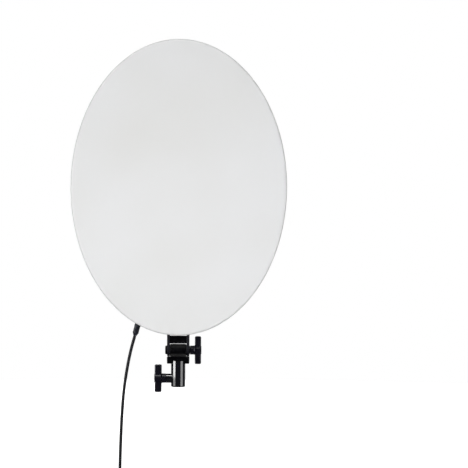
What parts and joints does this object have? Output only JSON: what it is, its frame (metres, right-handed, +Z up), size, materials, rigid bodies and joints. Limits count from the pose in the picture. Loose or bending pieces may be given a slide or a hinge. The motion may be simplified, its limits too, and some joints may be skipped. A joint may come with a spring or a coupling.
{
  "type": "led soft light panel",
  "caption": "Oval LED soft light panel with an opal front, vented rear cover, tilting yoke, stand socket with T handles, and a DC supply cord with a coil and adapter.",
  "frame": {"origin": "centre of the stand socket's mouth, where the top of a light stand enters", "axes": "+Z up along the socket, -Y the way the light shines, +X to the right seen from in front of the panel"},
  "size_m": [0.354, 0.09, 0.765],
  "materials": {
    "cover": "fine matt grain, dark grey",
    "opal": "opal white, satin",
    "orange": "satin orange",
    "black_casting": "satin black paint on a casting",
    "black_gloss": "gloss black on a turned tube",
    "handle": "satin black moulding",
    "steel": "zinc plated",
    "brass": "turned",
    "board_white": "white solder mask",
    "board_green": "green solder mask",
    "component": "black moulding",
    "cord": "smooth black sheath",
    "adapter": "fine matt grain, black"
  },
  "bodies": {
    "stand_adapter": {"knuckle_block": "black_casting", "socket_tube": "black_gloss", "friction_disc_left": "component", "friction_disc_right": "component", "dc_cord": "cord", "dc_cord_coil": "cord", "cord_tie": "component", "dc_cord_tail": "cord", "adapter_strain_relief": "cord", "adapter_case_lower": "adapter", "adapter_case_upper": "adapter", "adapter_circuit": "board_green", "adapter_pin_left": "steel", "adapter_pin_right": "steel"},
    "head": {"rear_cover": "cover", "front_diffuser": "opal", "badge_plate": "orange", "led_board": "board_white", "led_board_screw_1": "steel", "led_board_screw_2": "steel", "led_board_screw_3": "steel", "led_board_screw_4": "steel", "led_board_screw_5": "steel", "led_board_screw_6": "steel", "led_board_screw_7": "steel", "led_board_screw_8": "steel", "driver_board": "board_green", "driver_board_screw_1": "steel", "driver_board_screw_2": "steel", "driver_board_screw_3": "steel", "driver_board_screw_4": "steel", "jack_lead": "component", "led_lead": "component", "dc_jack": "component", "jack_centre_pin": "brass", "dc_plug": "cord", "dc_plug_barrel": "steel", "yoke": "black_casting", "yoke_backing_plate": "steel", "yoke_screw_1": "steel", "yoke_screw_2": "steel", "yoke_screw_3": "steel", "yoke_screw_4": "steel", "backing_plate_screw_1": "steel", "backing_plate_screw_2": "steel", "pivot_bolt": "black_casting"},
    "tilt_washer": {"tilt_washer": "black_casting"},
    "tilt_handle": {"tilt_handle": "handle", "tilt_handle_insert": "brass"},
    "clamp_screw": {"clamp_screw": "steel"},
    "clamp_handle": {"clamp_handle": "handle"}
  },
  "joints": [
    {"name": "head_tilt", "type": "hinge", "parent": "stand_adapter", "child": "head", "pos_m": [0, 0, 0.0606], "axis": [1, 0, 0], "range_deg": [-90, 90]},
    {"name": "tilt_handle_travel", "type": "slide", "parent": "head", "child": "tilt_washer", "axis": [1, 0, 0], "range_m": [0, 0.001]},
    {"name": "tilt_handle_turn", "type": "hinge", "parent": "tilt_washer", "child": "tilt_handle", "pos_m": [0.0285, 0, 0.0606], "axis": [1, 0, 0], "range_deg": [0, 360]},
    {"name": "clamp_screw_travel", "type": "slide", "parent": "stand_adapter", "child": "clamp_screw", "axis": [-1, 0, 0], "range_m": [0, 0.0025]},
    {"name": "clamp_handle_turn", "type": "hinge", "parent": "clamp_screw", "child": "clamp_handle", "pos_m": [-0.028, 0, 0.0142], "axis": [-1, 0, 0], "range_deg": [0, 720]}
  ],
  "couplings": [
    {"joint": "tilt_handle_travel", "follows": "tilt_handle_turn", "m_per_rad": 0.000159},
    {"joint": "clamp_screw_travel", "follows": "clamp_handle_turn", "m_per_rad": 0.000198}
  ]
}
